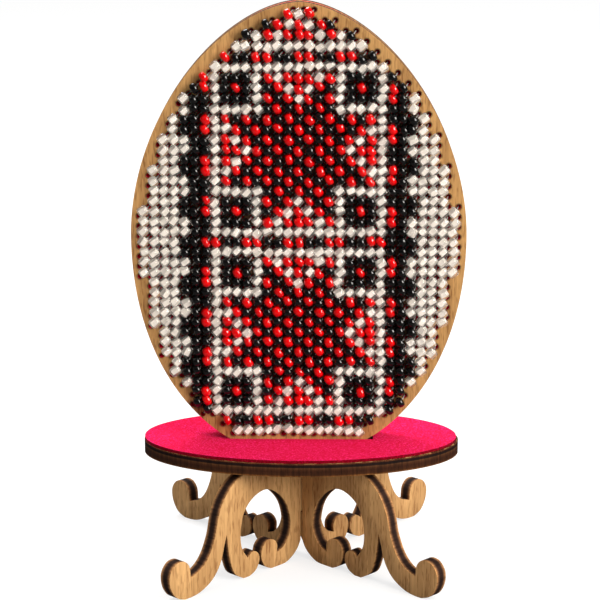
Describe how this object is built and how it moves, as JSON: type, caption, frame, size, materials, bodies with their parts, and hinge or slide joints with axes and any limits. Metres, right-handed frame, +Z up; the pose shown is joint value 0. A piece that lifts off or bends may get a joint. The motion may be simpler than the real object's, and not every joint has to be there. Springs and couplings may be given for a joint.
{
  "type": "beaded pysanka egg on stand",
  "caption": "Flat plywood Easter egg sewn all over with red, black and clear glass seed beads, standing in the slot of a felt-covered oval plate on two crossed scroll-footed frames.",
  "frame": {"origin": "on the surface the feet stand on, below the middle of the egg", "axes": "+Z up, -Y towards the viewer of the beaded face, +X to that viewer's right"},
  "size_m": [0.0816, 0.0698, 0.1398],
  "materials": {
    "birch_plywood": "bare sanded veneer, laser-browned on the cut edges",
    "crimson_felt": "matte pressed felt",
    "seed_beads": "glossy glass seed beads in opaque red, opaque black and clear with a white lining"
  },
  "bodies": {
    "stand": {"plate_board": "birch_plywood", "plate_felt": "crimson_felt", "leg_frame_cut_below": "birch_plywood", "leg_frame_cut_above": "birch_plywood"},
    "egg": {"egg_front_panel": "birch_plywood", "egg_felt_liner": "crimson_felt", "egg_back_panel": "birch_plywood", "bead_row_01": "seed_beads", "bead_row_02": "seed_beads", "bead_row_03": "seed_beads", "bead_row_04": "seed_beads", "bead_row_05": "seed_beads", "bead_row_06": "seed_beads", "bead_row_07": "seed_beads", "bead_row_08": "seed_beads", "bead_row_09": "seed_beads", "bead_row_10": "seed_beads", "bead_row_11": "seed_beads", "bead_row_12": "seed_beads", "bead_row_13": "seed_beads", "bead_row_14": "seed_beads", "bead_row_15": "seed_beads", "bead_row_16": "seed_beads", "bead_row_17": "seed_beads", "bead_row_18": "seed_beads", "bead_row_19": "seed_beads", "bead_row_20": "seed_beads", "bead_row_21": "seed_beads", "bead_row_22": "seed_beads", "bead_row_23": "seed_beads", "bead_row_24": "seed_beads", "bead_row_25": "seed_beads", "bead_row_26": "seed_beads", "bead_row_27": "seed_beads", "bead_row_28": "seed_beads", "bead_row_29": "seed_beads", "bead_row_30": "seed_beads", "bead_row_31": "seed_beads", "bead_row_32": "seed_beads", "bead_row_33": "seed_beads", "bead_row_34": "seed_beads", "bead_row_35": "seed_beads", "bead_row_36": "seed_beads", "bead_row_37": "seed_beads", "bead_row_38": "seed_beads", "bead_row_39": "seed_beads", "bead_row_40": "seed_beads", "bead_row_41": "seed_beads", "bead_row_42": "seed_beads"}
  },
  "joints": [
    {"name": "egg_lift", "type": "slide", "parent": "stand", "child": "egg", "axis": [0, 0, 1], "range_m": [0, 0.02]}
  ]
}
